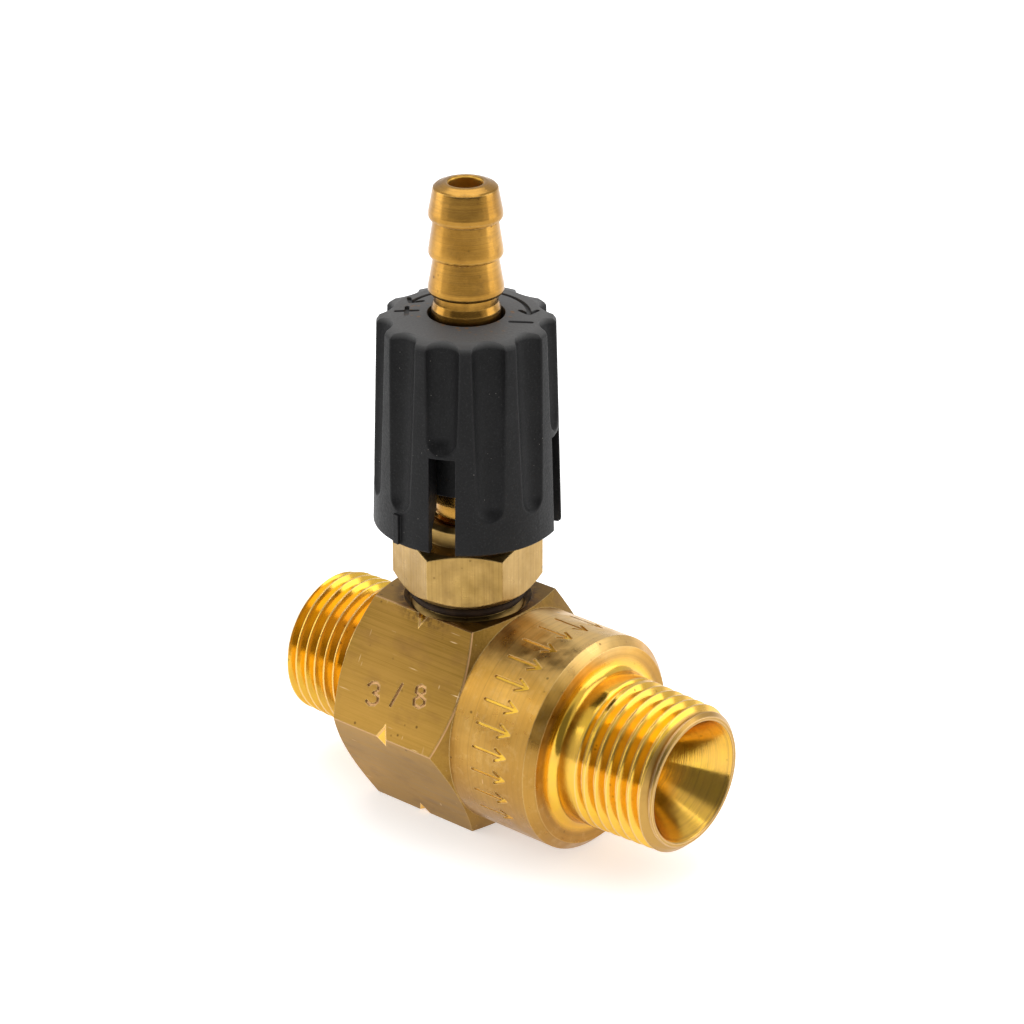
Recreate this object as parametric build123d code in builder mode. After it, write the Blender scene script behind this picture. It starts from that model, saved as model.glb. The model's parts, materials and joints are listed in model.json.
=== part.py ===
from build123d import *
import math
import os

# Venturi injector with a metering needle valve. Millimetres.
# Main bore along +X towards the outlet, valve branch along +Z, base hex flat on Z = 0.

os.makedirs("parts", exist_ok=True)

edge_break = 0.3

# Body: hexagon bar with a turned outlet side
hex_af = 24.0
axis_h = hex_af / 2
hex_corner_r = hex_af / math.sqrt(3)
hex_right = 6.45
hex_left = -7.15
right_land_x = 7.6
left_face_x = -8.55
left_face_r = 11.75
barrel_r = 11.9
barrel_end = 17.65
barrel_bevel = 0.95
neck_cove = 0.9
neck_r = 8.32
notch_x = -0.3
notch_r = 13.15

# 3/8-18 NPT male threads
npt_pitch = 1.411
npt_depth = 0.86
npt_crest = 0.16
npt_root = 0.12
npt_taper_deg = 1.79
npt_taper = 1 / 32
outlet_x = 30.99
outlet_crest_r = 8.03
outlet_bevel = 0.95
outlet_rim_r = 7.12
outlet_thread_start = 21.6
outlet_lead = 1.4
outlet_turns = 7
inlet_x = -20.25
inlet_crest_r = 8.10
inlet_bevel = 0.85
inlet_thread_start = -9.1
inlet_lead = 1.7
inlet_turns = 8

# Flow passage
mouth_r = 6.65
mouth_bevel = 0.15
diffuser_r = 2.2
cone_deg = 30.0
throat_r = 1.35
throat_x = 0.8
mix_r = 1.6
mix_x = -1.2
nose_bore_r = 2.6
nose_bore_x = -8.6
inlet_bore_r = 5.0
inlet_mouth_r = 5.4
inlet_mouth_bevel = 0.35
inlet_mouth_end = -16.5
inlet_rim_r = 7.2

# Branch port
port_r = 6.05
port_floor = 16.2
port_bevel_r = 6.9
suction_r = 0.8
suction_x = -0.2

# Engraving
mark_w = 0.32
mark_depth = 0.18
arrow_tail = 10.8
arrow_tip = 15.1
arrow_head = 1.5
arrow_head_deg = 26
arrow_step_deg = 12.6
arrow_first_deg = -28.0
arrow_count = 12
size_mark = 2.35
size_mark_turn = 15
size_mark_low = -2.1

# Valve housing
nut_af = 13.9
nut_low = 25.1
nut_high = 31.6
nut_turn = 38.23
nut_foot_r = 6.15
nut_foot_h = 1.58
nut_corner_r = 8.12
nut_crown_r = 6.82
nut_crown_h = 0.62
collar_r = 5.0
collar_top = 33.8
collar_bevel_w = 0.4
collar_bevel_h = 0.55
spigot_r = 6.0
spigot_low = 16.5
spigot_top = 23.2
spigot_neck_r = 5.3
spigot_bevel = 0.6
spigot_pitch = 1.0
spigot_turns = 6
spigot_depth = 0.6
small_crest = 0.14
small_root = 0.12
feed_r = 4.0
feed_low = 29.3
feed_relief_r = 4.35
seal_bore_r = 3.1
seal_top = 28.9
seal_low = 24.6
seat_r = 0.9
seat_z = 23.4
ball_seat_z = 22.4
ball_bore_r = 2.2

# Check valve
ball_r = 1.6
ball_z = 20.94
keeper_low = 16.5
keeper_high = 17.3
keeper_hole_r = 0.75
spring_wire_r = 0.15
spring_r = 1.25
spring_low = 17.47
spring_high = 19.62
spring_turns = 4.5

# Metering stem and hose tail
stem_r = 3.03
stem_foot = 26.3
needle_tip_z = 24.2
needle_tip_r = 0.45
needle_r = 1.6
groove_low = 27.4
groove_high = 28.6
groove_r = 2.08
feed_male_r = 3.93
feed_male_low = 30.9
feed_male_high = 34.0
feed_pitch = 0.75
feed_depth = 0.42
feed_turns = 4
feed_relief = 0.45
drum_low = 36.0
drum_high = 46.8
drum_r = 4.55
knurl_teeth = 32
knurl_r = 0.22
shank_r = 3.63
shank_top = 57.2
tail_neck_r = 3.36
tail_top = 70.85
tail_nose_z = 70.15
tail_nose_r = 3.42
tail_bore_r = 1.77
inner_bore_r = 1.1
inner_bore_top = 30.2
inner_bore_low = 26.9
cross_r = 0.5

# Knob
knob_low = 33.04
knob_high = 56.5
knob_low_r = 10.0
knob_high_r = 9.33
knob_hole_r = 4.07
knob_rim_drop = 0.95
knob_top_fall = 0.15
flute_count = 12
flute_r = 1.9
flute_top_root = 7.8
flute_end_root = 9.1
flute_end_z = 38.4
short_flute_end_z = 46.0
flute_round = 0.2
flute_zero_deg = -64.8
slot_w = 2.87
slot_top = 43.9
skirt_bore_r = 8.62
skirt_bore_top = 35.2
cavity_r = 6.9
cavity_low = 37.2
cavity_top = 52.0
hub_r = 5.6
hub_low = 37.8
hub_bore_r = 4.6
hub_bore_top = 47.0
rib_w = 0.9
rib_low = 39.5
side_rib_deg = -95.8
side_rib_w = 0.75
side_rib_h = 3.3
side_rib_depth = 0.9
mark_ring_r = 6.5
mark_sweep_deg = 60
mark_gap_deg = 21
mark_head_deg = 9
mark_head_reach = 0.9
sign_ring_r = 6.2
less_deg = 16
more_deg = 215
sign_turn_deg = 40
sign_half = 1.1
knob_mark_w = 0.5
knob_mark_depth = 0.45

# Seals
seal_section_r = 0.47
stem_ring_r = 2.6
stem_ring_z = 28.0
housing_ring_section_r = 0.45
housing_ring_r = 5.78
housing_ring_z = 24.55

# Nozzle
nozzle_back = -13.5
nozzle_step = -8.75
nozzle_tip = -1.35
nozzle_r = 4.95
nozzle_nose_r = 2.55
nozzle_nose_bevel = 0.85
nozzle_mouth_r = 3.9
nozzle_orifice_r = 1.15
nozzle_throat_x = -4.0
nozzle_groove_x = -11.4
nozzle_groove_half = 0.62
nozzle_groove_r = 4.02
nozzle_ring_r = 4.5
clamp_back = -16.3
clamp_front = -13.55
clamp_socket_af = 6.0

main_axis = Axis((0, 0, axis_h), (1, 0, 0))
branch_axis = Axis.Z
main_plane = Plane.XZ.shift_origin(Vector(0, 0, axis_h))


def solid_of_revolution(points, plane, axis, mode=Mode.ADD):
    """Turns a closed profile of (along, radius) or (radius, along) points about an axis."""
    with BuildSketch(plane, mode=Mode.PRIVATE) as profile:
        with BuildLine():
            Polyline(*points, close=True)
        make_face()
    revolve(profile.sketch, axis=axis, mode=mode)


def helix_edge(pitch, radius, start, along, taper_deg, shift):
    """Returns one turn of a helix, moved by a shift along its axis, its pitch kept on a taper."""
    centre = tuple(at + shift * step for at, step in zip(start, along))
    slant_pitch = pitch / math.cos(math.radians(taper_deg))
    with BuildLine(mode=Mode.PRIVATE) as path:
        Helix(slant_pitch, pitch, radius, center=centre, direction=along, cone_angle=taper_deg)
    return path.edges()[0]


def groove_tool(pitch, depth, crest, root, start, along, radius, turns, taper_deg):
    """Returns the solid V groove of a thread: whole turns from start, then one that runs out."""
    half = pitch / 2 - 0.3 * crest
    rise = 0.35 * crest
    slope = math.tan(math.radians(taper_deg))
    corners = (
        (-half, rise - half * slope),
        (-root / 2, -depth),
        (root / 2, -depth),
        (half, rise + half * slope),
    )
    runout_deg = math.degrees(math.atan((depth + 2 * rise) / pitch))
    skins = []
    for turn in range(turns + 1):
        done = turn * pitch
        wide = radius + done * slope
        turn_deg = runout_deg if turn == turns else taper_deg
        rails = [
            helix_edge(pitch, wide + lift, start, along, turn_deg, done + shift)
            for shift, lift in corners
        ]
        following = rails[1:] + rails[:1]
        skins += [Face.make_surface_from_curves(a, b) for a, b in zip(rails, following)]
        for place, is_end in ((0, turn == 0), (1, turn == turns)):
            if is_end:
                rim = [Edge.make_line(a @ place, b @ place) for a, b in zip(rails, following)]
                skins.append(Face(Wire(rim)))
    return Solid(Shell(skins))


def stroke(start, end, width):
    """Adds a round-ended stroke between two points of the current sketch."""
    run = end[0] - start[0]
    climb = end[1] - start[1]
    span = math.hypot(run, climb)
    middle = ((start[0] + end[0]) / 2, (start[1] + end[1]) / 2)
    with Locations(middle):
        SlotCenterToCenter(span, width, rotation=math.degrees(math.atan2(climb, run)))


def arc_stroke(radius, start_deg, sweep_deg, width):
    """Adds a round-ended stroke along an arc about the sketch origin."""
    with BuildLine(mode=Mode.PRIVATE) as arc:
        CenterArc((0, 0), radius, start_deg, sweep_deg)
    SlotArc(arc.edges()[0], width)


def polar(radius, angle_deg):
    """Returns the XY point at a radius and an angle."""
    angle = math.radians(angle_deg)
    return radius * math.cos(angle), radius * math.sin(angle)


def bar(centre, half, angle_deg, width):
    """Adds a round-ended bar through a centre at an angle."""
    run, climb = polar(half, angle_deg)
    stroke(
        (centre[0] - run, centre[1] - climb), (centre[0] + run, centre[1] + climb), width
    )


def mark_point(point, shift):
    """Places a glyph point on the hex face, scaled, shifted and turned."""
    turn = math.radians(size_mark_turn)
    along = point[0] * size_mark + shift
    up = point[1] * size_mark
    return (
        along * math.cos(turn) - up * math.sin(turn),
        along * math.sin(turn) + up * math.cos(turn) + size_mark_low,
    )


# Generic thread-size mark drawn as strokes, in units of the glyph height
three = ((-0.3, 0.38), (-0.12, 0.5), (0.12, 0.5), (0.28, 0.36), (0.28, 0.16), (0.02, 0.04))
three = three + ((0.3, -0.1), (0.32, -0.34), (0.14, -0.5), (-0.14, -0.5), (-0.32, -0.36))
slash = ((-0.26, -0.5), (0.26, 0.5))
eight = ((0.0, 0.04), (-0.24, 0.18), (-0.22, 0.4), (0.0, 0.5), (0.22, 0.4), (0.24, 0.18))
eight = eight + ((0.0, 0.04), (0.3, -0.14), (0.28, -0.38), (0.0, -0.5), (-0.28, -0.38))
eight = eight + ((-0.3, -0.14), (0.0, 0.04))

with BuildPart() as body:
    with BuildSketch(Plane.YZ.offset(left_face_x).shift_origin(Vector(left_face_x, 0, axis_h))):
        RegularPolygon(hex_corner_r, 6, rotation=0)
    extrude(amount=right_land_x - left_face_x)
    with BuildSketch(main_plane, mode=Mode.PRIVATE) as turned:
        with BuildLine():
            Polyline(
                (left_face_x, 0),
                (left_face_x, left_face_r),
                (hex_left, hex_corner_r + 0.01),
                (notch_x - hex_corner_r + notch_r, hex_corner_r + 0.01),
                (notch_x, notch_r),
                (notch_x + hex_corner_r - notch_r, hex_corner_r + 0.01),
                (hex_right, hex_corner_r + 0.01),
                (right_land_x, barrel_r),
                (right_land_x, 0),
                close=True,
            )
        make_face()
    revolve(turned.sketch, axis=main_axis, mode=Mode.INTERSECT)
    shoulder_x = barrel_end + barrel_bevel
    outlet_fade = outlet_crest_r + (outlet_x - outlet_bevel - outlet_thread_start) * npt_taper
    solid_of_revolution(
        (
            (right_land_x, 0),
            (right_land_x, barrel_r),
            (barrel_end, barrel_r),
            (shoulder_x, barrel_r - barrel_bevel),
            (shoulder_x, neck_r),
            (outlet_thread_start - edge_break, neck_r),
            (outlet_thread_start, outlet_fade),
            (outlet_x - outlet_bevel, outlet_crest_r),
            (outlet_x, outlet_rim_r),
            (outlet_x, 0),
        ),
        main_plane,
        main_axis,
    )
    neck_corner = body.edges().filter_by(
        lambda edge: edge.geom_type == GeomType.CIRCLE
        and abs(edge.center().X - shoulder_x) < 0.01
        and abs(edge.radius - neck_r) < 0.01
    )
    fillet(neck_corner, neck_cove)
    inlet_wide = inlet_crest_r + (inlet_thread_start - inlet_x) * npt_taper
    solid_of_revolution(
        (
            (left_face_x, 0),
            (left_face_x, neck_r),
            (inlet_thread_start, inlet_wide),
            (inlet_x + inlet_bevel, inlet_crest_r),
            (inlet_x, inlet_rim_r),
            (inlet_x, 0),
        ),
        main_plane,
        main_axis,
    )
    mouth_x = outlet_x - mouth_bevel
    cone_x = mouth_x - (mouth_r - diffuser_r) / math.tan(math.radians(cone_deg))
    solid_of_revolution(
        (
            (inlet_x, 0),
            (inlet_x, inlet_mouth_r + inlet_mouth_bevel),
            (inlet_x + inlet_mouth_bevel, inlet_mouth_r),
            (inlet_mouth_end, inlet_mouth_r),
            (inlet_mouth_end, inlet_bore_r),
            (nose_bore_x, inlet_bore_r),
            (nose_bore_x, nose_bore_r),
            (mix_x, nose_bore_r),
            (mix_x, mix_r),
            (throat_x - 0.25, mix_r),
            (throat_x, throat_r),
            (cone_x, diffuser_r),
            (mouth_x, mouth_r),
            (outlet_x, mouth_r + mouth_bevel),
            (outlet_x, 0),
        ),
        main_plane,
        main_axis,
        Mode.SUBTRACT,
    )
    outlet_groove = groove_tool(
        npt_pitch, npt_depth, npt_crest, npt_root,
        (outlet_x + outlet_lead, 0, axis_h), (-1, 0, 0),
        outlet_crest_r - (outlet_bevel + outlet_lead) * npt_taper, outlet_turns, npt_taper_deg,
    )
    add(outlet_groove, mode=Mode.SUBTRACT)
    inlet_groove = groove_tool(
        npt_pitch, npt_depth, npt_crest, npt_root,
        (inlet_x - inlet_lead, 0, axis_h), (1, 0, 0),
        inlet_crest_r - (inlet_bevel + inlet_lead) * npt_taper, inlet_turns, npt_taper_deg,
    )
    add(inlet_groove, mode=Mode.SUBTRACT)
    with BuildSketch(Plane.XY.offset(port_floor)):
        Circle(port_r)
    extrude(amount=hex_af - port_floor, mode=Mode.SUBTRACT)
    solid_of_revolution(
        (
            (0, hex_af + 0.5),
            (port_bevel_r + 0.5, hex_af + 0.5),
            (port_r, hex_af + port_r - port_bevel_r),
            (0, hex_af + port_r - port_bevel_r),
        ),
        Plane.XZ,
        branch_axis,
        Mode.SUBTRACT,
    )
    with BuildSketch(Plane.XY.offset(axis_h)):
        with Locations((suction_x, 0)):
            Circle(suction_r)
    extrude(amount=port_floor - axis_h, mode=Mode.SUBTRACT)
    for index in range(arrow_count):
        tilt = math.radians(arrow_first_deg + index * arrow_step_deg)
        normal = Vector(0, -math.cos(tilt), math.sin(tilt))
        face = Plane(
            origin=Vector(0, 0, axis_h) + normal * (barrel_r - mark_depth),
            x_dir=(1, 0, 0),
            z_dir=normal,
        )
        with BuildSketch(face):
            stroke((arrow_tail, 0), (arrow_tip, 0), mark_w)
            for side in (-1, 1):
                barb = math.radians(side * arrow_head_deg)
                back = (arrow_tip - arrow_head * math.cos(barb), arrow_head * math.sin(barb))
                stroke((arrow_tip, 0), back, mark_w)
        extrude(amount=1.0, mode=Mode.SUBTRACT)
    front_normal = Vector(0, -math.cos(math.radians(30)), math.sin(math.radians(30)))
    with BuildSketch(
        Plane(
            origin=Vector(-0.2, 0, axis_h) + front_normal * (axis_h - mark_depth),
            x_dir=(1, 0, 0),
            z_dir=front_normal,
        )
    ):
        for glyph, shift in ((three, -3.1), (slash, 0.0), (eight, 3.1)):
            for start, end in zip(glyph, glyph[1:]):
                stroke(mark_point(start, shift), mark_point(end, shift), mark_w)
    extrude(amount=1.0, mode=Mode.SUBTRACT)
body.part.label = "body"
export_step(body.part, "parts/body.step")

with BuildPart() as nozzle_insert:
    solid_of_revolution(
        (
            (nozzle_back, nozzle_mouth_r),
            (nozzle_back, nozzle_r - edge_break),
            (nozzle_back + edge_break, nozzle_r),
            (nozzle_groove_x - nozzle_groove_half, nozzle_r),
            (nozzle_groove_x - nozzle_groove_half, nozzle_groove_r),
            (nozzle_groove_x + nozzle_groove_half, nozzle_groove_r),
            (nozzle_groove_x + nozzle_groove_half, nozzle_r),
            (nozzle_step, nozzle_r),
            (nozzle_step, nozzle_nose_r),
            (nozzle_tip - nozzle_nose_bevel, nozzle_nose_r),
            (nozzle_tip, nozzle_nose_r - nozzle_nose_bevel),
            (nozzle_tip, nozzle_orifice_r),
            (nozzle_throat_x, nozzle_orifice_r),
        ),
        main_plane,
        main_axis,
    )
nozzle_insert.part.label = "nozzle_insert"
export_step(nozzle_insert.part, "parts/nozzle_insert.step")

with BuildPart() as nozzle_o_ring:
    with BuildSketch(main_plane):
        with Locations((nozzle_groove_x, nozzle_ring_r)):
            Circle(seal_section_r)
    revolve(axis=main_axis)
nozzle_o_ring.part.label = "nozzle_o_ring"
export_step(nozzle_o_ring.part, "parts/nozzle_o_ring.step")

with BuildPart() as nozzle_retainer:
    with BuildSketch(Plane.YZ.offset(clamp_back).shift_origin(Vector(clamp_back, 0, axis_h))):
        Circle(nozzle_r)
        RegularPolygon(clamp_socket_af / 2, 6, major_radius=False, mode=Mode.SUBTRACT)
    extrude(amount=clamp_front - clamp_back)
    chamfer(nozzle_retainer.edges().filter_by(GeomType.CIRCLE), edge_break)
nozzle_retainer.part.label = "nozzle_retainer"
export_step(nozzle_retainer.part, "parts/nozzle_retainer.step")

with BuildPart() as valve_housing:
    with BuildSketch(Plane.XY.offset(nut_low)):
        RegularPolygon(nut_af / 2, 6, major_radius=False, rotation=nut_turn)
    extrude(amount=nut_high - nut_low)
    solid_of_revolution(
        (
            (0, nut_low),
            (nut_foot_r, nut_low),
            (nut_corner_r, nut_low + nut_foot_h),
            (nut_corner_r, nut_high - nut_crown_h),
            (nut_crown_r, nut_high),
            (0, nut_high),
        ),
        Plane.XZ,
        branch_axis,
        Mode.INTERSECT,
    )
    solid_of_revolution(
        (
            (0, spigot_low),
            (spigot_r - spigot_bevel, spigot_low),
            (spigot_r, spigot_low + spigot_bevel),
            (spigot_r, spigot_top),
            (spigot_neck_r, spigot_top + 0.5),
            (spigot_neck_r, nut_low),
            (spigot_neck_r, nut_high),
            (collar_r, nut_high),
            (collar_r, collar_top - collar_bevel_h),
            (collar_r - collar_bevel_w, collar_top),
            (0, collar_top),
        ),
        Plane.XZ,
        branch_axis,
    )
    spigot_groove = groove_tool(
        spigot_pitch, spigot_depth, small_crest, small_root,
        (0, 0, spigot_low - spigot_pitch), (0, 0, 1),
        spigot_r, spigot_turns, 0,
    )
    add(spigot_groove, mode=Mode.SUBTRACT)
    solid_of_revolution(
        (
            (0, collar_top),
            (feed_r + edge_break, collar_top),
            (feed_r, collar_top - edge_break),
            (feed_r, feed_low + edge_break),
            (feed_relief_r, feed_low),
            (feed_relief_r, seal_top + 0.15),
            (seal_bore_r, seal_top),
            (seal_bore_r, seal_low),
            (seat_r, seat_z),
            (seat_r, ball_seat_z),
            (ball_bore_r, ball_seat_z + seat_r - ball_bore_r),
            (ball_bore_r, spigot_low),
            (0, spigot_low),
        ),
        Plane.XZ,
        branch_axis,
        Mode.SUBTRACT,
    )
valve_housing.part.label = "valve_housing"
export_step(valve_housing.part, "parts/valve_housing.step")

with BuildPart() as housing_o_ring:
    with BuildSketch(Plane.XZ):
        with Locations((housing_ring_r, housing_ring_z)):
            Circle(housing_ring_section_r)
    revolve(axis=branch_axis)
housing_o_ring.part.label = "housing_o_ring"
export_step(housing_o_ring.part, "parts/housing_o_ring.step")

with BuildPart() as check_ball:
    with Locations((0, 0, ball_z)):
        Sphere(ball_r)
check_ball.part.label = "check_ball"
export_step(check_ball.part, "parts/check_ball.step")

with BuildPart() as check_spring:
    spring_height = spring_high - spring_low
    with BuildLine() as coil:
        Helix(spring_height / spring_turns, spring_height, spring_r, center=(0, 0, spring_low))
    with BuildSketch(Plane(origin=coil.line @ 0, z_dir=coil.line % 0)):
        Circle(spring_wire_r)
    sweep(path=coil.line, is_frenet=True)
check_spring.part.label = "check_spring"
export_step(check_spring.part, "parts/check_spring.step")

with BuildPart() as spring_keeper:
    with BuildSketch(Plane.XY.offset(keeper_low)):
        Circle(ball_bore_r)
        Circle(keeper_hole_r, mode=Mode.SUBTRACT)
    extrude(amount=keeper_high - keeper_low)
spring_keeper.part.label = "spring_keeper"
export_step(spring_keeper.part, "parts/spring_keeper.step")

# Barbs of the hose tail: lower edge height and widest radius
barbs = ((58.84, 3.99), (62.87, 3.92), (66.93, 3.90))
barb_pitch = 4.03
barb_lip = 0.42

with BuildPart() as metering_stem:
    tail = []
    for low, wide in barbs:
        tail.append((tail_neck_r, low))
        tail.append((wide - 0.28, low + 0.03))
        tail.append((wide - 0.09, low + 0.16))
        tail.append((wide, low + barb_lip))
        tail.append((wide - 0.03, low + 2 * barb_lip))
        tail.append((tail_neck_r + 0.05, low + barb_pitch - 0.07))
    tail[-1] = (tail_nose_r, tail_nose_z)
    solid_of_revolution(
        (
            (0, needle_tip_z),
            (needle_tip_r, needle_tip_z),
            (needle_r, stem_foot - 0.11),
            (needle_r, stem_foot),
            (stem_r - 0.25, stem_foot),
            (stem_r, stem_foot + 0.25),
            (stem_r, groove_low),
            (groove_r, groove_low),
            (groove_r, groove_high),
            (stem_r, groove_high),
            (stem_r, feed_male_low - 0.1),
            (feed_male_r - 0.5, feed_male_low),
            (feed_male_r, feed_male_low + 0.5),
            (feed_male_r, feed_male_high),
            (feed_male_r - feed_relief, feed_male_high + feed_relief / 2),
            (feed_male_r - feed_relief, drum_low),
            (drum_r - 0.2, drum_low),
            (drum_r, drum_low + 0.2),
            (drum_r, drum_high),
            (shank_r, drum_high + 0.15),
            (shank_r, shank_top),
            (shank_r - 0.25, shank_top + 0.7),
            *tail,
            (tail_nose_r - 0.05, tail_nose_z + 0.17),
            (tail_nose_r - 0.27, tail_nose_z + 0.36),
            (tail_bore_r + 0.6, tail_top - 0.05),
            (tail_bore_r + 0.3, tail_top),
            (0, tail_top),
        ),
        Plane.XZ,
        branch_axis,
    )
    feed_groove = groove_tool(
        feed_pitch, feed_depth, small_crest, small_root,
        (0, 0, feed_male_low - feed_pitch), (0, 0, 1),
        feed_male_r, feed_turns, 0,
    )
    add(feed_groove, mode=Mode.SUBTRACT)
    with BuildSketch(Plane.XY.offset(hub_low)):
        with PolarLocations(drum_r, knurl_teeth):
            Circle(knurl_r)
    extrude(amount=drum_high - hub_low, mode=Mode.SUBTRACT)
    solid_of_revolution(
        (
            (0, inner_bore_low - 0.4),
            (inner_bore_r, inner_bore_low),
            (inner_bore_r, inner_bore_top),
            (tail_bore_r, inner_bore_top + 0.7),
            (tail_bore_r, tail_top - 0.2),
            (tail_bore_r + 0.2, tail_top),
            (0, tail_top),
        ),
        Plane.XZ,
        branch_axis,
        Mode.SUBTRACT,
    )
    with BuildSketch(Plane.YZ.offset(-stem_r)):
        with Locations((0, inner_bore_low - 0.05)):
            Circle(cross_r)
    extrude(amount=2 * stem_r, mode=Mode.SUBTRACT)
metering_stem.part.label = "metering_stem"
export_step(metering_stem.part, "parts/metering_stem.step")

with BuildPart() as stem_o_ring:
    with BuildSketch(Plane.XZ):
        with Locations((stem_ring_r, stem_ring_z)):
            Circle(seal_section_r)
    revolve(axis=branch_axis)
stem_o_ring.part.label = "stem_o_ring"
export_step(stem_o_ring.part, "parts/stem_o_ring.step")

# The flutes lean outwards going down, so each runs from a deep scallop to a shallow dimple
rim_slope = (knob_low_r - knob_high_r) / (knob_high - knob_low)
root_slope = (flute_end_root - flute_top_root) / (knob_high - flute_end_z)
over_top = knob_high + 3

with BuildPart() as knob:
    solid_of_revolution(
        (
            (0, knob_low),
            (knob_low_r, knob_low),
            (knob_high_r - 3 * rim_slope, over_top),
            (0, over_top),
        ),
        Plane.XZ,
        branch_axis,
    )
    for index in range(flute_count):
        end_z = short_flute_end_z if index % 3 == 0 else flute_end_z
        angle = flute_zero_deg + index * 360 / flute_count
        top_x, top_y = polar(flute_top_root + flute_r, angle)
        end_x, end_y = polar(flute_top_root + (knob_high - end_z) * root_slope + flute_r, angle)
        foot = Vector(end_x, end_y, end_z)
        lean = Vector(top_x, top_y, knob_high) - foot
        with BuildSketch(Plane(origin=foot, z_dir=lean)):
            Circle(flute_r)
        extrude(amount=1.5 * lean.length, mode=Mode.SUBTRACT)
        with Locations((end_x, end_y, end_z)):
            Sphere(flute_r, mode=Mode.SUBTRACT)
    grip = knob.faces().filter_by(GeomType.CONE).sort_by(SortBy.AREA)[-1]
    flute_edges = [
        edge for edge in grip.edges() if knob_low + 0.5 < edge.center().Z < over_top - 0.5
    ]
    fillet(flute_edges, flute_round)
    solid_of_revolution(
        (
            (0, knob_low),
            (knob_low_r - edge_break, knob_low),
            (knob_low_r + 0.05, knob_low + edge_break),
            (knob_high_r + 0.05, knob_high - knob_rim_drop),
            (knob_high_r - edge_break, knob_high - knob_rim_drop / 2),
            (flute_top_root, knob_high - knob_top_fall),
            (knob_hole_r, knob_high),
            (0, knob_high),
        ),
        Plane.XZ,
        branch_axis,
        Mode.INTERSECT,
    )
    with BuildSketch(Plane.XY.offset(knob_low + edge_break)):
        with Locations(Location((0, 0, 0), (0, 0, side_rib_deg))):
            with Locations((knob_low_r - 0.1, 0)):
                Rectangle(side_rib_depth, side_rib_w)
    extrude(amount=side_rib_h)
    solid_of_revolution(
        (
            (0, knob_low - 1),
            (skirt_bore_r, knob_low - 1),
            (skirt_bore_r, skirt_bore_top),
            (cavity_r, cavity_low),
            (cavity_r, cavity_top),
            (0, cavity_top),
        ),
        Plane.XZ,
        branch_axis,
        Mode.SUBTRACT,
    )
    slot_run = knob_low_r - hub_r + 1.5
    with BuildSketch(Plane.XY.offset(knob_low - 1)):
        for index in range(4):
            with Locations(Location((0, 0, 0), (0, 0, flute_zero_deg + 90 * index))):
                with Locations((hub_r + slot_run / 2, 0)):
                    Rectangle(slot_run, slot_w)
    extrude(amount=slot_top - knob_low + 1, mode=Mode.SUBTRACT)
    with BuildSketch(Plane.XY.offset(hub_low)):
        Circle(hub_r)
    extrude(amount=cavity_top - hub_low)
    with BuildSketch(Plane.XY.offset(rib_low)):
        with PolarLocations((cavity_r + hub_r) / 2, 4, start_angle=flute_zero_deg + 45):
            Rectangle(cavity_r - hub_r + 0.8, rib_w)
    extrude(amount=cavity_top - rib_low)
    with BuildSketch(Plane.XY.offset(knob_low - 1)):
        Circle(hub_bore_r)
    extrude(amount=hub_bore_top - knob_low + 1, mode=Mode.SUBTRACT)
    with BuildSketch(Plane.XY.offset(hub_bore_top - 1)):
        Circle(knob_hole_r)
    extrude(amount=knob_high - hub_bore_top + 2, mode=Mode.SUBTRACT)
    with BuildSketch(Plane.XY.offset(knob_high - knob_mark_depth)):
        for sign_deg, way in ((less_deg, 1), (more_deg, -1)):
            tip = sign_deg + mark_gap_deg * way
            arc_stroke(mark_ring_r, tip, mark_sweep_deg * way, knob_mark_w)
            for reach in (-mark_head_reach, mark_head_reach):
                barb = polar(mark_ring_r + reach, tip + mark_head_deg * way)
                stroke(polar(mark_ring_r, tip), barb, knob_mark_w)
            bar(polar(sign_ring_r, sign_deg), sign_half, sign_turn_deg, knob_mark_w)
        bar(polar(sign_ring_r, more_deg), sign_half, sign_turn_deg + 90, knob_mark_w)
    extrude(amount=1.0, mode=Mode.SUBTRACT)
knob.part.label = "knob"
export_step(knob.part, "parts/knob.step")
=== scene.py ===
import json

import bpy
from mathutils import Matrix, Vector


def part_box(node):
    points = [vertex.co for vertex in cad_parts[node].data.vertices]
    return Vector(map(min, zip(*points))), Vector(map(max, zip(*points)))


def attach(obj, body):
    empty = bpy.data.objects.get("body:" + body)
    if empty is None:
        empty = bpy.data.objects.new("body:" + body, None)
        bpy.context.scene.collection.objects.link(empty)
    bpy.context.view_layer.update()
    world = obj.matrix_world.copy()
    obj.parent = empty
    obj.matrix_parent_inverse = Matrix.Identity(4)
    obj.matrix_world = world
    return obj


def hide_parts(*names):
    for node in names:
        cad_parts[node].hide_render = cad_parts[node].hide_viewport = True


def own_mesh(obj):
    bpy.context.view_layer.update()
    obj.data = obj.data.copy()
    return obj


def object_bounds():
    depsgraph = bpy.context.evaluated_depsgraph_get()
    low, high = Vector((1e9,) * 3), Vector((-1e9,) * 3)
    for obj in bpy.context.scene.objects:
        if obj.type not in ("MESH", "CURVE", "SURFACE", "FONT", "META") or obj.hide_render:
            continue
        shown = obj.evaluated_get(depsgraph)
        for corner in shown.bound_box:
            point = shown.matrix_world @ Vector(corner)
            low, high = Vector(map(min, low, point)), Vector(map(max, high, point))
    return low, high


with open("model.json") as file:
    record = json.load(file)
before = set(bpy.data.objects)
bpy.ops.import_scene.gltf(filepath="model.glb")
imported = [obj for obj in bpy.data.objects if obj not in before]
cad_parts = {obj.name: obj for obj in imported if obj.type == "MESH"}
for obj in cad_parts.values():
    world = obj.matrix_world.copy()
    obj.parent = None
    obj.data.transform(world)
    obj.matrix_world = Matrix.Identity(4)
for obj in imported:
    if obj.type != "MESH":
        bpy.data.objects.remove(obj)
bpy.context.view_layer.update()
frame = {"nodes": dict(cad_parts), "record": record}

# The body, with places along X and radii from its axis, which lies along X
AXIS_H = 0.012  # height of that axis
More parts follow.
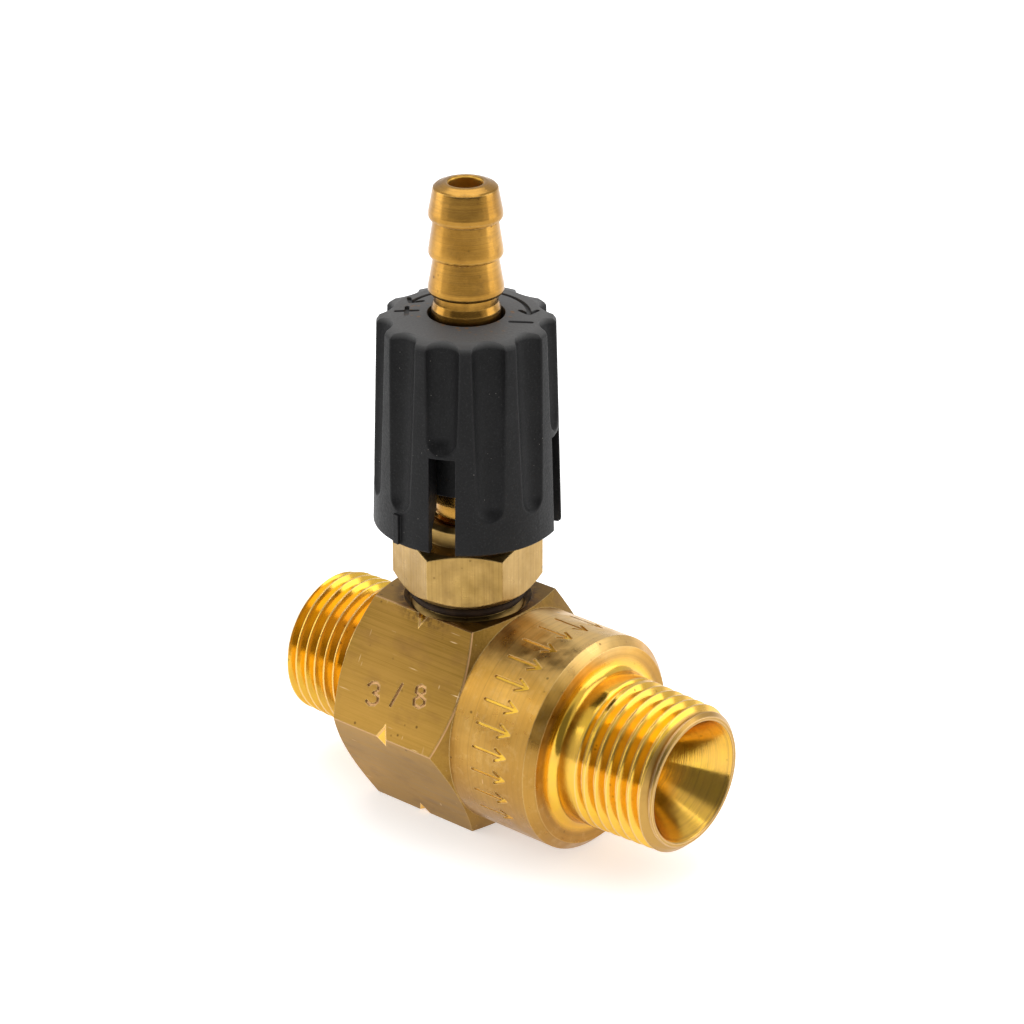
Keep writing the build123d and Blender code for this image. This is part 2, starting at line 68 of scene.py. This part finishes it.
FLAT = 0.012  # from it to a flat of the hexagon
HEX_BACK, HEX_FRONT = -0.0087, 0.0077  # the hexagon's ends
NOTCH_X, NOTCH_R = -0.0003, 0.01315  # the V notches cut into its corners, and their bottom
BARREL_R = 0.0119
ARROWS_BACK, ARROWS_FRONT = 0.0098, 0.0168  # the arrows engraved on the barrel
CUT_R = 0.0098  # threads and necks lie inside this
MOUTH_X, MOUTH_R = 0.0225, 0.0068  # where the outlet's cone starts, and its widest radius
NOSE_X, NOSE_R = 0.0299, 0.00665  # the rim round the cone

# Radii from the axis of the branch, which stands along Z
CRUST_AND_SHADE_R = 0.0082  # dark crumbs and painted contact shade round the small nut lie inside this
NUT_FLAT_R = 0.0068  # the flats of that nut lie outside this
BORE_R = 0.0019  # the tail's bore lies inside this
CRUMBS_R = 0.0070  # brass crumbs on the knob's top lie inside this

# The camera's spot and its own directions, and the point that the lights aim at
CAMERA_SPOT = Vector((0.23036, -0.26528, 0.19870))
RIGHT = Vector((0.76383, 0.64542, 0.0))
UP = Vector((-0.27451, 0.32487, 0.90504))
BACK = Vector((0.58413, -0.69130, 0.42532))
TARGET = Vector((0.004, 0.0, 0.030))

# Brass tones: freshly cut, turned, drawn flats, rim and struck marks, stains (one also used as
# painted shade), rubbed edges (also used as painted highlights)
DEEP = (0.84, 0.51, 0.052)
GOLD = (0.75, 0.44, 0.080)
MAIN = (0.54, 0.275, 0.043)
PALE = (0.71, 0.400, 0.084)
OLIVE = (0.165, 0.090, 0.014)
KHAKI = (0.300, 0.168, 0.036)
RIM = (0.42, 0.245, 0.070)
COPPER = (0.62, 0.36, 0.17)
UMBER = (0.17, 0.085, 0.028)
TARNISH_AND_SHADE = (0.20, 0.105, 0.030)
DIRT = (0.075, 0.038, 0.012)
RUBBED_AND_HIGHLIGHT = (0.84, 0.62, 0.28)
BURR_AND_HIGHLIGHT = (0.90, 0.64, 0.36)
NUT_TONES = ((0.36, 0.225, 0.064), (0.46, 0.295, 0.098))
STEM_TONES = ((0.33, 0.165, 0.028), (0.48, 0.255, 0.050))


class Nodes:
    """A small builder for one material's node tree."""

    def __init__(self, name):
        self.mat = bpy.data.materials.new(name)
        self.mat.use_nodes = True
        self.tree = self.mat.node_tree
        self.tree.nodes.clear()
        out = self.tree.nodes.new("ShaderNodeOutputMaterial")
        self.bsdf = self.tree.nodes.new("ShaderNodeBsdfPrincipled")
        self.link(self.bsdf.outputs[0], out.inputs["Surface"])
        self.coord = self.tree.nodes.new("ShaderNodeTexCoord").outputs["Object"]

    def link(self, a, b):
        self.tree.links.new(a, b)

    def put(self, value, socket):
        """Links a socket, or sets a constant."""
        if isinstance(value, bpy.types.NodeSocket):
            self.link(value, socket)
        else:
            socket.default_value = value

    def math(self, operation, a, b=0.0):
        node = self.tree.nodes.new("ShaderNodeMath")
        node.operation = operation
        self.put(a, node.inputs[0])
        self.put(b, node.inputs[1])
        return node.outputs[0]

    def both(self, *masks):
        """The product of several masks or numbers."""
        product = masks[0]
        for mask in masks[1:]:
            product = self.math("MULTIPLY", product, mask)
        return product

    def outside(self, mask):
        """The rest of the surface, where a mask isn't."""
        return self.remap(mask, 1.0, 0.0)

    def length(self, a, b):
        square = self.math("ADD", self.both(a, a), self.both(b, b))
        return self.math("SQRT", square)

    def mapping(self, vector, scale=(1, 1, 1), location=(0, 0, 0)):
        node = self.tree.nodes.new("ShaderNodeMapping")
        self.put(vector, node.inputs["Vector"])
        node.inputs["Scale"].default_value = scale
        node.inputs["Location"].default_value = location
        return node.outputs[0]

    def shifted(self, x, y, z):
        """The same place moved by whole metres, so that two noises don't line up."""
        return self.mapping(self.coord, (1, 1, 1), (x, y, z))

    def noise(self, vector, scale, detail=3.0, rough=0.5):
        node = self.tree.nodes.new("ShaderNodeTexNoise")
        self.put(vector, node.inputs["Vector"])
        node.inputs["Scale"].default_value = scale
        node.inputs["Detail"].default_value = detail
        node.inputs["Roughness"].default_value = rough
        return node.outputs["Fac"]

    def voronoi(self, vector, scale):
        node = self.tree.nodes.new("ShaderNodeTexVoronoi")
        self.put(vector, node.inputs["Vector"])
        node.inputs["Scale"].default_value = scale
        return node.outputs["Distance"]

    def split(self, vector):
        node = self.tree.nodes.new("ShaderNodeSeparateXYZ")
        self.put(vector, node.inputs[0])
        return node.outputs

    def join(self, x, y, z):
        node = self.tree.nodes.new("ShaderNodeCombineXYZ")
        for value, socket in zip((x, y, z), node.inputs):
            self.put(value, socket)
        return node.outputs[0]

    def remap(self, value, low, high, to_low=0.0, to_high=1.0):
        """Moves a value from one range to another, held at both ends."""
        node = self.tree.nodes.new("ShaderNodeMapRange")
        self.put(value, node.inputs["Value"])
        numbers = (low, high, to_low, to_high)
        for socket, number in zip(("From Min", "From Max", "To Min", "To Max"), numbers):
            self.put(number, node.inputs[socket])
        return node.outputs[0]

    def mix(self, factor, a, b):
        node = self.tree.nodes.new("ShaderNodeMix")
        node.data_type = "RGBA"
        self.put(factor, node.inputs["Factor"])
        for value, socket in ((a, node.inputs[6]), (b, node.inputs[7])):
            self.put((*value, 1) if isinstance(value, tuple) else value, socket)
        return node.outputs[2]

    def rounded(self, radius):
        """A normal that rolls over sharp edges, and a mask of where it does."""
        bevel = self.tree.nodes.new("ShaderNodeBevel")
        bevel.samples = 4
        bevel.inputs["Radius"].default_value = radius
        normal = self.tree.nodes.new("ShaderNodeNewGeometry").outputs["Normal"]
        dot = self.tree.nodes.new("ShaderNodeVectorMath")
        dot.operation = "DOT_PRODUCT"
        self.link(bevel.outputs[0], dot.inputs[0])
        self.link(normal, dot.inputs[1])
        return bevel.outputs[0], self.remap(dot.outputs["Value"], 0.995, 0.9)

    def around(self, axis, height):
        """Place along an axis, distance from it, and the direction round it."""
        x, y, z = self.split(self.coord)
        if axis == "X":
            along, u, v = x, y, self.math("SUBTRACT", z, height)
            spin = self.join(0.0, self.math("MULTIPLY", v, -1.0), u)
        else:
            along, u, v = z, x, y
            spin = self.join(self.math("MULTIPLY", v, -1.0), u, 0.0)
        return along, self.length(u, v), spin

    def brushed(self, direction, amount):
        """Stretches the gloss across the given direction of the tool marks."""
        turn = self.tree.nodes.new("ShaderNodeVectorTransform")
        turn.vector_type = "VECTOR"
        turn.convert_from = "OBJECT"
        turn.convert_to = "WORLD"
        self.link(direction, turn.inputs[0])
        unit = self.tree.nodes.new("ShaderNodeVectorMath")
        unit.operation = "NORMALIZE"
        self.link(turn.outputs[0], unit.inputs[0])
        self.link(unit.outputs[0], self.bsdf.inputs["Tangent"])
        self.bsdf.inputs["Anisotropic"].default_value = amount
        self.bsdf.inputs["Anisotropic Rotation"].default_value = 0.25

    def ticks(self, stretch, amount):
        """Short thin scratches along the axis that is stretched least."""
        field = self.noise(self.mapping(self.coord, stretch, (0.4, 0.8, 0.2)), 1.0, 1.0)
        gate = self.noise(self.coord, 230.0, 2.0)
        return self.both(self.remap(field, 0.74, 0.80), self.remap(gate, 0.50, 0.60), amount)

    def rings(self, along, radius, per_metre, detail, rough):
        """Uneven rings left by a turning tool."""
        place = self.join(self.both(along, per_metre), self.both(radius, per_metre), 0.0)
        return self.noise(place, 1.0, detail, rough)

    def specks(self, scale, size, gate_scale, low, high):
        """Small round spots, kept to some patches only."""
        spot = self.remap(self.voronoi(self.coord, scale), size, size * 0.5)
        return self.both(spot, self.remap(self.noise(self.coord, gate_scale, 2.0), low, high))

    def surface(self, colour, rough, metallic=0.0, specular=0.5):
        """Sets how the shader looks."""
        self.put(colour, self.bsdf.inputs["Base Color"])
        self.put(rough, self.bsdf.inputs["Roughness"])
        self.bsdf.inputs["Metallic"].default_value = metallic
        self.bsdf.inputs["Specular IOR Level"].default_value = specular

    def relief(self, height, strength, distance, normal=None):
        """Fine bumps in the shader, on top of a normal if one is given."""
        node = self.tree.nodes.new("ShaderNodeBump")
        self.put(height, node.inputs["Height"])
        node.inputs["Strength"].default_value = strength
        node.inputs["Distance"].default_value = distance
        if normal is not None:
            self.link(normal, node.inputs["Normal"])
        self.link(node.outputs[0], self.bsdf.inputs["Normal"])


def turned_brass(name, axis, height, tones, rough, pitch, stain, flat_r=1.0):
    """Bare turned brass: fine tool rings round an axis, blotchy tone, specks, and edges lightened as
    rubbed wear and as a painted highlight.
    """
    n = Nodes(name)
    along, radius, spin = n.around(axis, height)
    tint = n.noise(n.coord, 170.0, 4.0, 0.6)
    base = n.mix(n.remap(tint, 0.38, 0.62), *tones)
    cloud = n.noise(n.shifted(3, 1, 7), 430.0, 5.0, 0.65)
    base = n.mix(n.remap(cloud, 0.56, 0.78, 0.0, stain), base, TARNISH_AND_SHADE)

    # a hexagon keeps the long lines of the drawn bar it was cut from
    hexagon = n.remap(radius, flat_r - 0.0001, flat_r + 0.0001)
    streak = n.noise(n.mapping(n.coord, (4600.0, 4600.0, 80.0)), 1.0, 3.0, 0.65)
    base = n.mix(n.both(n.remap(streak, 0.44, 0.68), hexagon, 0.32), base, UMBER)
    uneven = n.remap(n.rings(along, radius, 3400.0, 3.0, 0.7), 0.46, 0.70)
    base = n.mix(n.both(uneven, n.outside(hexagon), 0.32), base, TARNISH_AND_SHADE)

    # specks of dirt, edges lightened as rubbed wear and as a painted highlight, and a lighter bore
    base = n.mix(n.both(n.specks(900.0, 0.17, 260.0, 0.53, 0.63), 0.75), base, DIRT)
    normal, edge = n.rounded(0.00018)
    # painted highlight, and rubbed wear, along the edges
    base = n.mix(n.both(edge, 0.45), base, RUBBED_AND_HIGHLIGHT)
    bore = n.remap(radius, BORE_R, BORE_R - 0.00008)
    base = n.mix(bore, base, GOLD)

    rings = n.rings(along, radius, 1 / pitch, 2.0, 0.6)
    blotch = n.noise(n.coord, 650.0, 3.0)
    smear = n.math("ADD", n.both(rings, 0.4), n.both(blotch, 0.6))
    gloss = n.remap(smear, 0.35, 0.65, rough * 0.75, rough * 1.35)
    n.surface(base, n.math("ADD", gloss, n.both(bore, 0.15)), metallic=1.0)
    n.relief(rings, 0.30, 0.00001, normal)
    n.brushed(spin, 0.55)
    return n.mat


def plain_metal(name, colour, rough):
    """Clean bright metal with a faint grain."""
    n = Nodes(name)
    grain = n.noise(n.coord, 1500.0, 3.0)
    tone = n.noise(n.coord, 300.0, 3.0)
    dark = tuple(c * 0.75 for c in colour)
    base = n.mix(n.remap(tone, 0.35, 0.65), colour, dark)
    n.surface(base, n.remap(grain, 0.3, 0.7, rough * 0.7, rough * 1.4), metallic=1.0)
    n.relief(grain, 0.15, 0.00001)
    return n.mat


def body_brass():
    """The body: drawn flats, a satin barrel, and glossy cut threads, necks and mouth."""
    n = Nodes("body_brass")
    along, radius, spin = n.around("X", AXIS_H)
    x, y, z = n.split(n.coord)

    # the zones
    hex_back = n.remap(x, HEX_BACK, HEX_BACK + 0.0001)
    hex_front = n.remap(x, HEX_FRONT, HEX_FRONT - 0.0001)
    hexagon = n.both(hex_back, hex_front)
    beside_notch = n.math("ABSOLUTE", n.math("SUBTRACT", x, NOTCH_X))
    groove = n.math("SUBTRACT", beside_notch, n.math("SUBTRACT", radius, NOTCH_R))
    corner = n.remap(radius, NOTCH_R - 0.00007, NOTCH_R - 0.00001)
    notch = n.both(n.remap(groove, 0.00006, 0.00002), corner, hexagon)
    beyond_barrel = n.remap(radius, BARREL_R - 0.0001, BARREL_R + 0.00005)
    flat = n.both(hexagon, beyond_barrel, n.outside(notch))
    inlet = n.remap(x, HEX_BACK, HEX_BACK - 0.0002)
    cut = n.math("MAXIMUM", n.remap(radius, CUT_R, CUT_R - 0.0006), inlet)
    cut = n.math("MAXIMUM", cut, notch)
    mouth = n.remap(x, MOUTH_X, MOUTH_X + 0.0005)
    cone = n.both(mouth, n.remap(radius, MOUTH_R, MOUTH_R - 0.0001))
    tip = n.remap(x, NOSE_X, NOSE_X + 0.00014)
    nose = n.both(tip, n.remap(radius, NOSE_R, NOSE_R + 0.00005))

    # long drawn streaks on the flats, tool rings everywhere else
    streak = n.noise(n.mapping(n.coord, (45.0, 2600.0, 2600.0)), 1.0, 3.0, 0.6)
    fine = n.noise(n.mapping(n.coord, (130.0, 9000.0, 9000.0)), 1.0, 2.0, 0.6)
    lines = n.math("ADD", n.both(streak, 0.45), n.both(fine, 0.55))
    rings = n.rings(along, radius, 9000.0, 2.0, 0.6)

    # satin metal, with painted shade towards the bottom and a painted highlight on top
    tint = n.noise(n.coord, 150.0, 4.0, 0.6)
    satin = n.mix(n.remap(tint, 0.38, 0.62), MAIN, PALE)
    # painted shade: darker towards the bottom of the barrel
    satin = n.mix(n.both(n.remap(z, 0.0215, 0.0150), 0.50), satin, TARNISH_AND_SHADE)
    # painted highlight: paler on top of the barrel
    satin = n.mix(n.both(n.remap(z, 0.0210, 0.0234), 0.45), satin, RUBBED_AND_HIGHLIGHT)
    uneven = n.remap(n.rings(along, radius, 2600.0, 3.0, 0.7), 0.46, 0.70)
    satin = n.mix(n.both(uneven, 0.30), satin, TARNISH_AND_SHADE)

    # drawn flats, paler round their centre as a painted highlight, and stained
    patch = n.noise(n.shifted(2, 6, 4), 60.0, 3.0, 0.6)
    bands = n.math("ADD", n.both(lines, 0.6), n.both(patch, 0.4))
    drawn = n.mix(n.remap(bands, 0.40, 0.60), OLIVE, KHAKI)
    # painted highlight: a paler band at mid height on the side flats
    middle_highlight = n.both(n.remap(z, 0.021, 0.013), n.remap(z, 0.009, 0.013, 0.2, 0.32))
    drawn = n.mix(middle_highlight, drawn, PALE)
    stain = n.noise(n.mapping(n.coord, (1, 2, 2)), 210.0, 4.0, 0.6)
    drawn = n.mix(n.remap(stain, 0.5, 0.75, 0.0, 0.5), drawn, UMBER)

    glossy = n.mix(n.remap(tint, 0.35, 0.65), DEEP, GOLD)
    base = n.mix(flat, n.mix(cut, satin, glossy), drawn)
    base = n.mix(n.both(nose, 0.9), base, RIM)
    base = n.mix(n.both(cone, n.remap(rings, 0.48, 0.66), 0.55), base, RIM)

    # the struck marks show fresher metal at the bottom
    lift = n.math("ADD", n.both(y, -0.8660254), n.both(n.math("SUBTRACT", z, AXIS_H), 0.5))
    below_flat = n.remap(lift, FLAT - 0.00003, FLAT - 0.00009)
    struck = n.both(below_flat, n.remap(lift, FLAT - 0.00025, FLAT - 0.00020), hexagon)
    base = n.mix(n.both(struck, 0.75), base, COPPER)
    below_barrel = n.remap(radius, BARREL_R - 0.00003, BARREL_R - 0.00009)
    above_wall = n.remap(radius, BARREL_R - 0.00030, BARREL_R - 0.00025)
    arrows_back = n.remap(x, ARROWS_BACK, ARROWS_BACK + 0.0001)
    arrows_front = n.remap(x, ARROWS_FRONT, ARROWS_FRONT - 0.0001)
    arrows = n.both(below_barrel, above_wall, arrows_back, arrows_front)
    base = n.mix(n.both(arrows, 0.8), base, DEEP)

    # stains, scratches, rubbed patches, specks of dirt, dark crumbs with painted shade round the nut,
    # and edges lightened by wear and as a painted highlight
    cloud = n.noise(n.shifted(1, 7, 4), 420.0, 5.0, 0.65)
    base = n.mix(n.remap(cloud, 0.58, 0.80, 0.0, 0.32), base, TARNISH_AND_SHADE)
    base = n.mix(n.both(n.ticks((260.0, 3000.0, 3000.0), 0.6), flat), base, BURR_AND_HIGHLIGHT)
    base = n.mix(n.both(n.ticks((2600.0, 520.0, 520.0), 0.5), n.outside(cut)), base, BURR_AND_HIGHLIGHT)
    smudge = n.noise(n.shifted(9, 3, 5), 900.0, 4.0, 0.7)
    barrel = n.outside(n.math("MAXIMUM", cut, flat))
    base = n.mix(n.both(n.remap(smudge, 0.52, 0.70, 0.0, 0.14), barrel), base, RUBBED_AND_HIGHLIGHT)
    base = n.mix(n.both(n.specks(750.0, 0.15, 240.0, 0.54, 0.63), 0.7), base, DIRT)
    near_branch = n.remap(n.length(x, y), CRUST_AND_SHADE_R, CRUST_AND_SHADE_R - 0.0012)
    top = AXIS_H + FLAT
    on_top = n.remap(z, top - 0.0011, top - 0.0008)
    # dark crumbs round the small nut, which also paint the shade that it casts on the flat
    crust_and_shade = n.remap(n.noise(n.coord, 1100.0, 4.0, 0.7), 0.44, 0.54)
    base = n.mix(n.both(near_branch, on_top, crust_and_shade, 0.85), base, DIRT)
    normal, edge = n.rounded(0.00016)
    # edges lightened as rubbed wear and as a painted highlight
    worn_and_highlit = n.both(edge, n.remap(cut, 0.0, 1.0, 0.45, 0.75))
    base = n.mix(worn_and_highlit, base, n.mix(cut, RUBBED_AND_HIGHLIGHT, BURR_AND_HIGHLIGHT))

    blotch = n.noise(n.coord, 600.0, 3.0)
    rough_cut = n.remap(blotch, 0.35, 0.65, 0.13, 0.21)
    rough_cut = n.math("ADD", rough_cut, n.both(nose, 0.16))
    rough_satin = n.remap(blotch, 0.35, 0.65, 0.27, 0.42)
    rough_flat = n.remap(lines, 0.35, 0.65, 0.36, 0.50)
    n.surface(base, n.mix(flat, n.mix(cut, rough_satin, rough_cut), rough_flat), metallic=1.0)
    height = n.both(n.mix(flat, rings, lines), n.remap(cone, 0.0, 1.0, 0.7, 2.0))
    n.relief(height, 0.45, 0.00001, normal)
    # the flats were drawn along X; spin is as long as the radius, so this is as long as FLAT
    n.brushed(n.mix(flat, spin, n.join(FLAT, 0.0, 0.0)), 0.5)
    return n.mat


def knob_plastic():
    """Black moulded plastic with a spark-eroded grain, dust, brass crumbs on its top, a top lightened
    both by dust and as a painted highlight, and painted highlights along its edges.
    """
    n = Nodes("knob_plastic")
    x, y, z = n.split(n.coord)
    patch = n.noise(n.coord, 320.0, 3.0)
    base = n.mix(n.remap(patch, 0.35, 0.65), (0.0035, 0.0035, 0.0038), (0.0065, 0.0065, 0.0069))
    speckle = n.noise(n.coord, 5200.0, 2.0)
    base = n.mix(n.remap(speckle, 0.55, 0.75, 0.0, 0.6), base, (0.022, 0.022, 0.023))
    normal, edge = n.rounded(0.00014)
    # painted highlight along the sharp edges
    base = n.mix(n.both(edge, 0.35), base, (0.060, 0.060, 0.063))
    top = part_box("knob")[1][2]
    near_top = n.remap(z, top - 0.0010, top - 0.0002)
    # the top face lightened both by dust and as a painted highlight
    base = n.mix(n.both(near_top, 0.6), base, (0.165, 0.163, 0.160))
    dust = n.specks(1700.0, 0.10, 380.0, 0.56, 0.64)
    base = n.mix(n.both(dust, 0.5), base, (0.30, 0.28, 0.25))
    near_tail = n.remap(n.length(x, y), CRUMBS_R, CRUMBS_R - 0.0018)
    crumbs = n.both(n.specks(1300.0, 0.36, 420.0, 0.47, 0.54), near_top, near_tail)
    base = n.mix(n.both(crumbs, 0.8), base, (0.20, 0.105, 0.040))
    grain = n.noise(n.coord, 4200.0, 3.0, 0.65)
    pits = n.voronoi(n.coord, 3000.0)
    n.surface(base, n.remap(grain, 0.3, 0.7, 0.44, 0.60), specular=0.22)
    n.relief(n.math("ADD", n.both(grain, 0.6), n.both(pits, 0.4)), 0.6, 0.00005, normal)
    return n.mat


def seal_rubber():
    """Dark brown rubber with a faint bloom."""
    n = Nodes("seal_rubber")
    bloom = n.noise(n.coord, 900.0, 4.0)
    tone = n.mix(n.remap(bloom, 0.4, 0.7), (0.026, 0.014, 0.007), (0.050, 0.028, 0.014))
    n.surface(tone, n.remap(bloom, 0.3, 0.7, 0.60, 0.80), specular=0.2)
    n.relief(bloom, 0.2, 0.00002)
    return n.mat


MATERIALS = {
    "body_brass": body_brass(),
    "housing_brass": turned_brass(
        "housing_brass", "Z", 0.0, NUT_TONES, rough=0.34, pitch=0.00012, stain=0.25, flat_r=NUT_FLAT_R
    ),
    "stem_brass": turned_brass(
        "stem_brass", "Z", 0.0, STEM_TONES, rough=0.20, pitch=0.00010, stain=0.70
    ),
    "retainer_brass": turned_brass(
        "retainer_brass", "X", AXIS_H, STEM_TONES, rough=0.28, pitch=0.00012, stain=0.30
    ),
    "nozzle_steel": plain_metal("nozzle_steel", (0.62, 0.61, 0.59), 0.22),
    "ball_steel": plain_metal("ball_steel", (0.75, 0.75, 0.76), 0.08),
    "spring_steel": plain_metal("spring_steel", (0.58, 0.58, 0.57), 0.25),
    "knob_plastic": knob_plastic(),
    "seal_rubber": seal_rubber(),
}
slot_of = {entry["node"]: entry["material_slot"] for entry in frame["record"]["subparts"]}
for name, obj in frame["nodes"].items():
    for place in obj.material_slots:
        place.material = MATERIALS[slot_of[name]]


def working_spring():
    """The check spring again, as a mesh of its own on the fitting's body, with the CAD spring hidden.
    """
    cad = frame["nodes"]["check_spring"]
    spring = bpy.data.objects.new("working_spring", cad.data.copy())
    bpy.context.collection.objects.link(spring)
    spring.matrix_world = cad.matrix_world
    spring.data.materials.clear()
    spring.data.materials.append(MATERIALS["spring_steel"])
    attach(spring, "fitting")
    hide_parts("check_spring")
    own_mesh(spring)


def floor_plane():
    """A plain pale sheet under the object that glows a little, so that it stays near white."""
    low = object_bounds()[0][2]
    size = 3.0  # from the middle to an edge
    mesh = bpy.data.meshes.new("floor")
    corners = [(-size, -size, low), (size, -size, low), (size, size, low), (-size, size, low)]
    mesh.from_pydata(corners, [], [(0, 1, 2, 3)])
    obj = bpy.data.objects.new("floor", mesh)
    bpy.context.collection.objects.link(obj)
    n = Nodes("floor_white")
    cloud = n.noise(n.coord, 3.0, 2.0)
    n.surface(n.mix(cloud, (0.90, 0.90, 0.90), (0.92, 0.92, 0.92)), 0.6, specular=0.1)
    n.bsdf.inputs["Emission Color"].default_value = (1, 1, 1, 1)
    n.bsdf.inputs["Emission Strength"].default_value = 0.52
    obj.data.materials.append(n.mat)


def area(name, spot, size, power):
    """A rectangular soft box that points at the object."""
    data = bpy.data.lights.new(name, "AREA")
    data.shape = "RECTANGLE"
    data.size, data.size_y = size
    data.energy = power
    obj = bpy.data.objects.new(name, data)
    bpy.context.collection.objects.link(obj)
    obj.location = spot
    obj.rotation_euler = (TARGET - Vector(spot)).to_track_quat("-Z", "Y").to_euler()


def seen_from(right, up, back):
    """A spot given by the camera's own directions about the target."""
    return TARGET + RIGHT * right + UP * up + BACK * back


def studio_world():
    """Soft white surroundings that are darker on the camera's side of the room."""
    world = bpy.data.worlds.new("studio")
    world.use_nodes = True
    bpy.context.scene.world = world
    tree = world.node_tree
    coord = tree.nodes.new("ShaderNodeTexCoord").outputs["Generated"]
    dot = tree.nodes.new("ShaderNodeVectorMath")
    dot.operation = "DOT_PRODUCT"
    tree.links.new(coord, dot.inputs[0])
    dot.inputs[1].default_value = (0.645, -0.764, 0.0)  # level, toward the camera
    ramp = tree.nodes.new("ShaderNodeValToRGB")
    ramp.color_ramp.interpolation = "EASE"
    first, last = ramp.color_ramp.elements
    first.position, first.color = 0.46, (0.78, 0.78, 0.78, 1)
    last.position, last.color = 0.66, (0.20, 0.20, 0.20, 1)
    tree.links.new(dot.outputs["Value"], ramp.inputs[0])
    tree.links.new(ramp.outputs[0], tree.nodes["Background"].inputs["Color"])
    tree.nodes["Background"].inputs["Strength"].default_value = 1.0


working_spring()
floor_plane()
area("left_box", seen_from(-0.50, 0.10, -0.02), (0.30, 0.55), 0.85)
area("right_box", seen_from(0.50, 0.14, 0.06), (0.30, 0.55), 0.85)
area("top_box", TARGET + Vector((-0.10, 0.10, 0.60)), (0.60, 0.60), 1.6)
studio_world()
bpy.context.scene.view_settings.view_transform = "Standard"

camera_data = bpy.data.cameras.new("camera")
camera_data.sensor_width = 36.0
camera_data.lens = 128.4
camera_data.clip_start = 0.01
camera_data.clip_end = 20.0
camera = bpy.data.objects.new("camera", camera_data)
bpy.context.collection.objects.link(camera)
place = Matrix((RIGHT, UP, BACK)).transposed().to_4x4()
place.translation = CAMERA_SPOT
camera.matrix_world = place
bpy.context.scene.camera = camera
